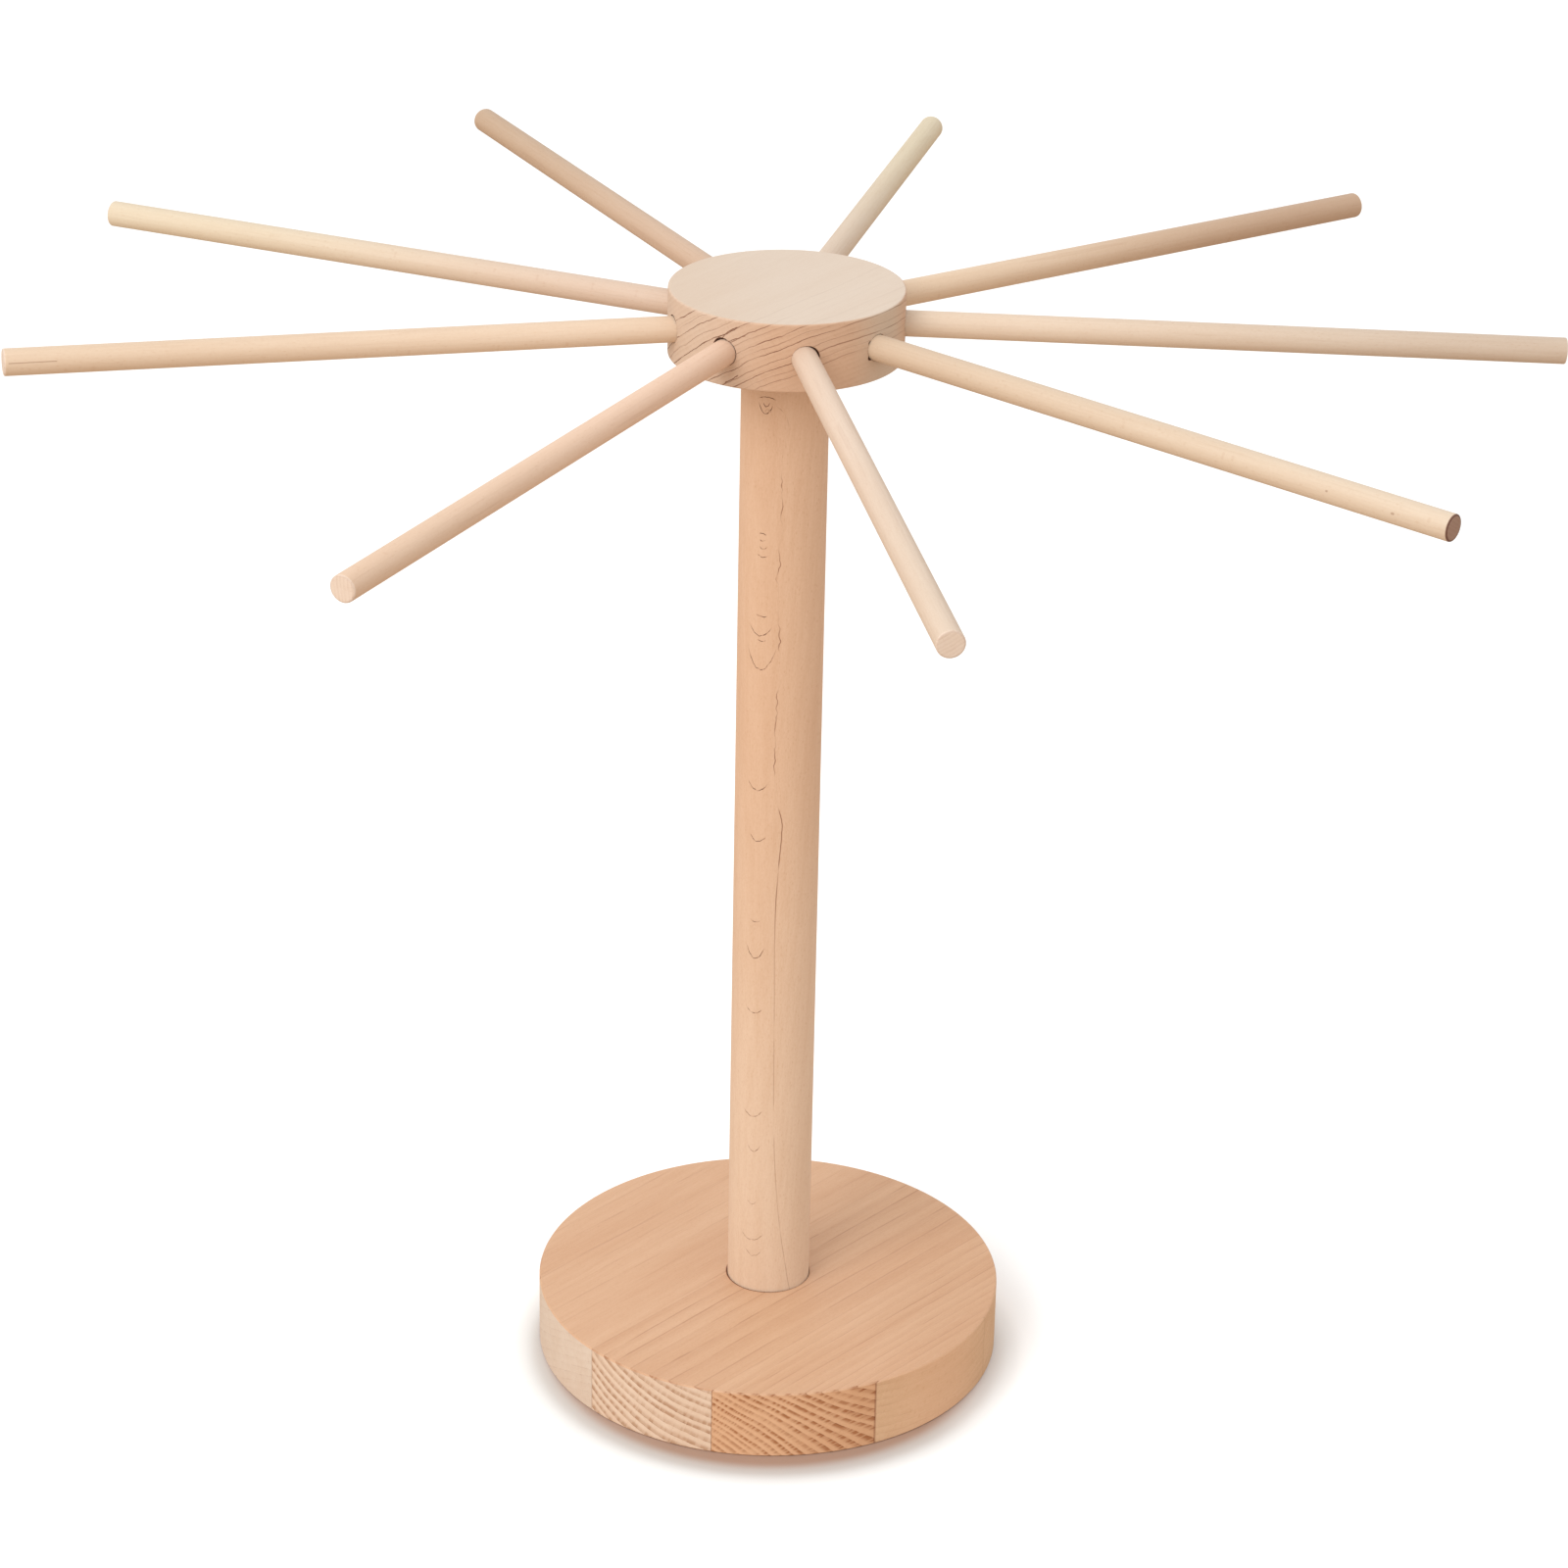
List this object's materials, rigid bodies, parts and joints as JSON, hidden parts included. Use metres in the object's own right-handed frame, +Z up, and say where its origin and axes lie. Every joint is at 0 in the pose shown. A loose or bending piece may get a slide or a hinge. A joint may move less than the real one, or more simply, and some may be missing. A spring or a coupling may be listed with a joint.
{
  "type": "pasta drying rack",
  "caption": "Table-top pasta drying rack: round base, upright post and a hub with a ring of level wooden dowels pushed into sockets round its rim.",
  "frame": {"origin": "centre of the base's underside, on the post's axis", "axes": "+Z up along the post; -Y along dowel 1, which points towards the viewer"},
  "size_m": [0.5505, 0.5436, 0.434],
  "materials": {
    "stave_beech": "plain beech, sanded, edge-glued staves",
    "post_beech": "plain beech, turned and sanded",
    "hub_beech": "plain beech, sawn, drilled and sanded",
    "dowel_beech": "plain beech dowel rod, sanded",
    "screw_steel": "zinc-plated steel"
  },
  "bodies": {
    "stand": {"base_stave_1": "stave_beech", "base_stave_2": "stave_beech", "base_stave_3": "stave_beech", "base_stave_4": "stave_beech", "base_stave_5": "stave_beech", "base_screw": "screw_steel", "post": "post_beech"},
    "peg": {"hub_peg": "dowel_beech"},
    "hub": {"hub": "hub_beech"},
    "dowel_1": {"dowel_1": "dowel_beech"},
    "dowel_2": {"dowel_2": "dowel_beech"},
    "dowel_3": {"dowel_3": "dowel_beech"},
    "dowel_4": {"dowel_4": "dowel_beech"},
    "dowel_5": {"dowel_5": "dowel_beech"},
    "dowel_6": {"dowel_6": "dowel_beech"},
    "dowel_7": {"dowel_7": "dowel_beech"},
    "dowel_8": {"dowel_8": "dowel_beech"},
    "dowel_9": {"dowel_9": "dowel_beech"}
  },
  "joints": [
    {"name": "hub_turn", "type": "hinge", "parent": "stand", "child": "peg", "pos_m": [0, 0, 0.409], "axis": [0, 0, 1], "continuous": true},
    {"name": "hub_lift", "type": "slide", "parent": "peg", "child": "hub", "axis": [0, 0, 1], "range_m": [0, 0.02]},
    {"name": "dowel_1_pull", "type": "slide", "parent": "hub", "child": "dowel_1", "axis": [0.0407, -0.9985, -0.0371], "range_m": [0, 0.02]},
    {"name": "dowel_2_pull", "type": "slide", "parent": "hub", "child": "dowel_2", "axis": [0.6785, -0.7341, -0.027], "range_m": [0, 0.02]},
    {"name": "dowel_3_pull", "type": "slide", "parent": "hub", "child": "dowel_3", "axis": [0.9856, -0.1683, -0.0174], "range_m": [0, 0.02]},
    {"name": "dowel_4_pull", "type": "slide", "parent": "hub", "child": "dowel_4", "axis": [0.8804, 0.4737, -0.0228], "range_m": [0, 0.02]},
    {"name": "dowel_5_pull", "type": "slide", "parent": "hub", "child": "dowel_5", "axis": [0.3564, 0.9337, -0.033], "range_m": [0, 0.02]},
    {"name": "dowel_6_pull", "type": "slide", "parent": "hub", "child": "dowel_6", "axis": [-0.304, 0.9526, -0.0072], "range_m": [0, 0.02]},
    {"name": "dowel_7_pull", "type": "slide", "parent": "hub", "child": "dowel_7", "axis": [-0.8491, 0.5283, 0], "range_m": [0, 0.02]},
    {"name": "dowel_8_pull", "type": "slide", "parent": "hub", "child": "dowel_8", "axis": [-0.9906, -0.1339, 0.0264], "range_m": [0, 0.02]},
    {"name": "dowel_9_pull", "type": "slide", "parent": "hub", "child": "dowel_9", "axis": [-0.6084, -0.7931, -0.03], "range_m": [0, 0.02]}
  ]
}
